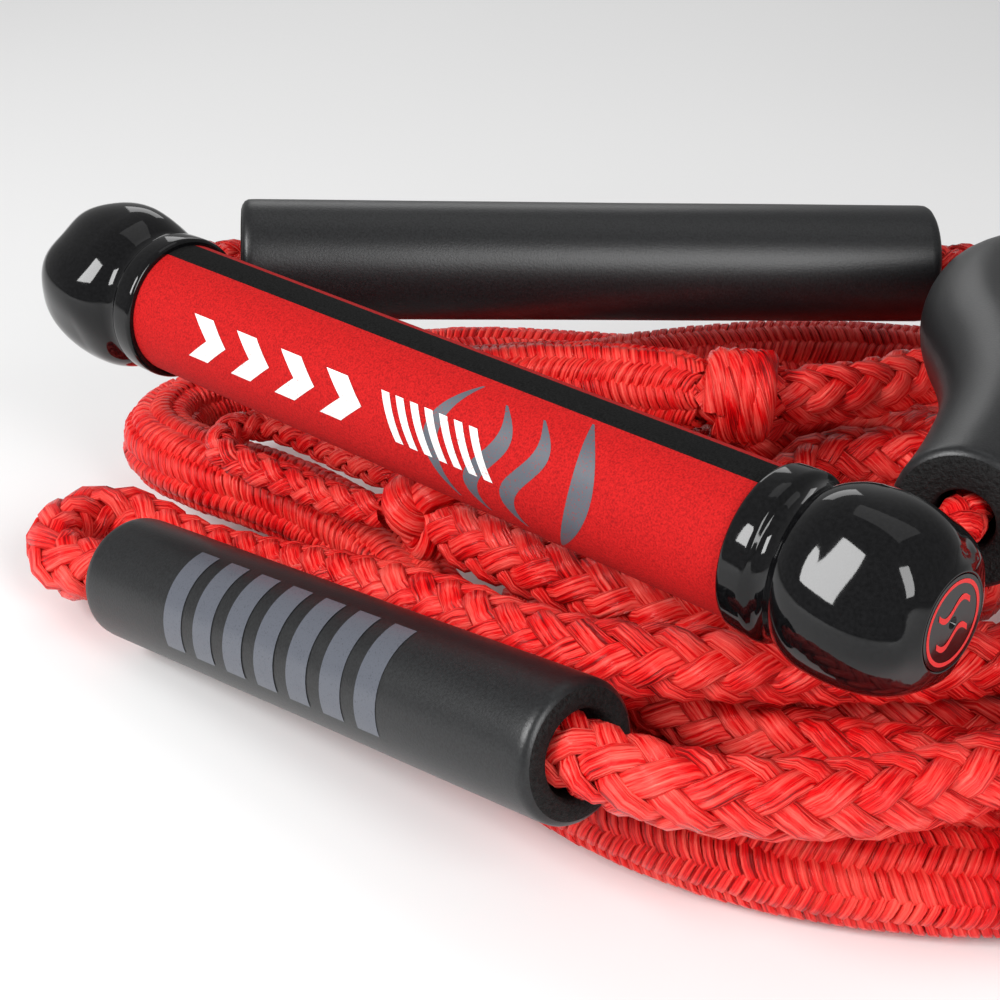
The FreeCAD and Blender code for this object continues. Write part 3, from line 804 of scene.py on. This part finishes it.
def cap_shell(side, word):
    """A dip-moulded cap: a collar, a groove and a bulb that is slightly squared, as a thick closed shell."""
    ball_x, ball_r = 22.2, 19.5
    # The ball's surface runs from the groove to the rim round the plug, in degrees from the outer end.
    groove, rim = 127.5, 29.6
    collar = (
        (0, 11.1), (0, 15.9), (0.15, 16.4), (0.6, 16.7), (1.2, 16.8), (5, 16.8), (5.7, 16.7), (6.2, 16.3),
        (6.5, 15.7), (7.0, 15.3), (8.2, 15.15),
    )
    inside = (
        (39.25, 9.4), (39.1, 9.1), (38.7, 9.02), (34, 9.02), (33.2, 8.5), (14.5, 8.5), (14.5, 11.1),
        (0, 11.1),
    )
    turn = np.linspace(0, 2 * math.pi, 96, endpoint=False)
    flat = np.ones_like(turn)
    rows = [(x * flat, r * flat) for x, r in collar]
    for degrees in np.linspace(groove, rim, 44):
        lean = math.radians(degrees)
        fade = min(1, (groove - degrees) / 30) * min(1, (degrees - rim) / 12)
        facets = 0.62 * np.cos(4 * turn - 0.9) * math.sin(lean) ** 2 + 0.22 * np.cos(7 * turn + 3 * lean)
        bulge = -0.5 * math.cos(4 * lean)
        radius = ball_r + (facets + bulge) * fade
        rows.append((ball_x + radius * math.cos(lean), radius * math.sin(lean)))
    rows += [(x * flat, r * flat) for x, r in inside]
    x, r = (np.array([row[k] for row in rows]) * MM for k in (0, 1))
    grid = np.stack([side * (CAP_START + x), side * r * np.cos(turn), r * np.sin(turn)], axis=-1)
    parts = Parts()
    parts.add_grid(grid, np.linspace(0, 1, len(rows)), turn / (2 * math.pi), closed=True)
    obj = parts.build("cap_shell_" + word)
    paint(obj, CAP_RUBBER)
    finish_piece(obj, "handle", "cap_rubber", "end_cap_" + word)


def print_caps():
    """A plain ring round two waves on each end plug."""
    for side, name in ((-1, "left"), (1, "right")):
        x = side * END_MARK_X
        parts = Parts()
        turn = np.linspace(0, 2 * math.pi, 60)
        ring = np.stack([
            np.stack([np.full_like(turn, x), np.cos(turn) * r, np.sin(turn) * r], -1)
            for r in (0.0074, 0.0082)
        ], axis=1)
        parts.add_grid(ring, turn / 6.28, np.array([0.0, 1.0]))
        steps = np.linspace(-1, 1, 40)
        crest = 0.0014 * np.sin(steps * math.pi)
        for shift in (-0.0028, 0.0028):
            wave = np.stack([
                np.stack([np.full_like(steps, x), steps * 0.0048, crest + shift + w], -1)
                for w in (-0.0006, 0.0006)
            ], axis=1)
            parts.add_grid(wave, steps, np.array([0.0, 1.0]))
        obj = parts.build("end_mark_" + name)
        paint(obj, RED_PRINT)
        finish_piece(obj, "handle", "cap_rubber")


# ---------------------------------------------------------------------------- everything together


def dress_cad_nodes():
    looks = {
        "bar_tube": METAL, "grip_sleeve": RED_FOAM, "grip_strip": STRIP_FOAM,
        "tube_bush_left": BUSH_PLASTIC, "tube_bush_right": BUSH_PLASTIC,
        "end_plug_left": CAP_RUBBER, "end_plug_right": CAP_RUBBER, "bridle_rope_in_bar": RED_ROPE,
    }
    for name, material in looks.items():
        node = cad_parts[name]
        for place in node.material_slots:
            place.material = material


def add_area(name, location, target, size, power):
    light = bpy.data.lights.new(name, "AREA")
    light.shape = "RECTANGLE"
    light.size, light.size_y = size
    light.energy = power
    obj = bpy.data.objects.new(name, light)
    obj.location = location
    obj.rotation_euler = (Vector(target) - Vector(location)).to_track_quat("-Z", "Y").to_euler()
    bpy.context.scene.collection.objects.link(obj)


def add_stage():
    size = 12
    corners = np.array([(-size, -size, 0), (size, -size, 0), (size, size, 0), (-size, size, 0)], float)
    under_rope = [0, 0, -(GRIP_HEIGHT + 0.1) * MM]
    floor = new_mesh("floor", corners + under_rope, np.array([[0, 1, 2, 3]]))
    n = Nodes("floor")
    pale = n.noise(n.coordinates("Object", (1, 1, 1)), 3, 1)
    colour = n.ramp(pale, (0.3, (0.80, 0.80, 0.80)), (0.7, (0.82, 0.82, 0.82)))
    n.join(colour, n.shader.inputs["Base Color"])
    n.set(Roughness=0.8)
    paint(floor, n.material)
    world = bpy.data.worlds.new("studio")
    bpy.context.scene.world = world
    world.use_nodes = True
    world.node_tree.nodes["Background"].inputs["Color"].default_value = (1, 1, 1, 1)
    world.node_tree.nodes["Background"].inputs["Strength"].default_value = 0.33
    middle = (0.0, 0.05, -0.03)
    add_area("key", (-0.30, -0.85, 0.62), middle, (0.45, 0.45), 13)
    add_area("side", (0.85, -0.30, 0.45), middle, (0.3, 0.6), 7)
    add_area("top", (0.0, 0.30, 1.0), middle, (0.9, 0.5), 1.0)
    add_area("back", (-0.7, 0.7, 0.45), middle, (0.5, 0.3), 1.0)
    bpy.context.scene.view_settings.view_transform = "Standard"


line_knot = make_knot("line_knot_bundles", LINE_KNOT, 0.0115, (70, 40), "line", "line_knot", 11)
bungee_knot = make_knot("stretch_knot_bundles", BUNGEE_KNOT, 0.0125, (60, 10), "line", "bungee_knot", 12)
wrap = make_wrap()
seizing = make_seizing()
line_float, left_foam, right_foam = make_floats()
make_line()
make_bungee()
make_small_loop("boat_loop_rope", BOAT_LOOP, "boat_loop", "line", 14)
make_small_loop("link_loop_rope", LINK_LOOP, "link_loop", "line", 15)
make_bridle()
dress_cad_nodes()
print_grip()
for side, word in ((-1, "left"), (1, "right")):
    cap_shell(side, word)
print_caps()
add_stage()
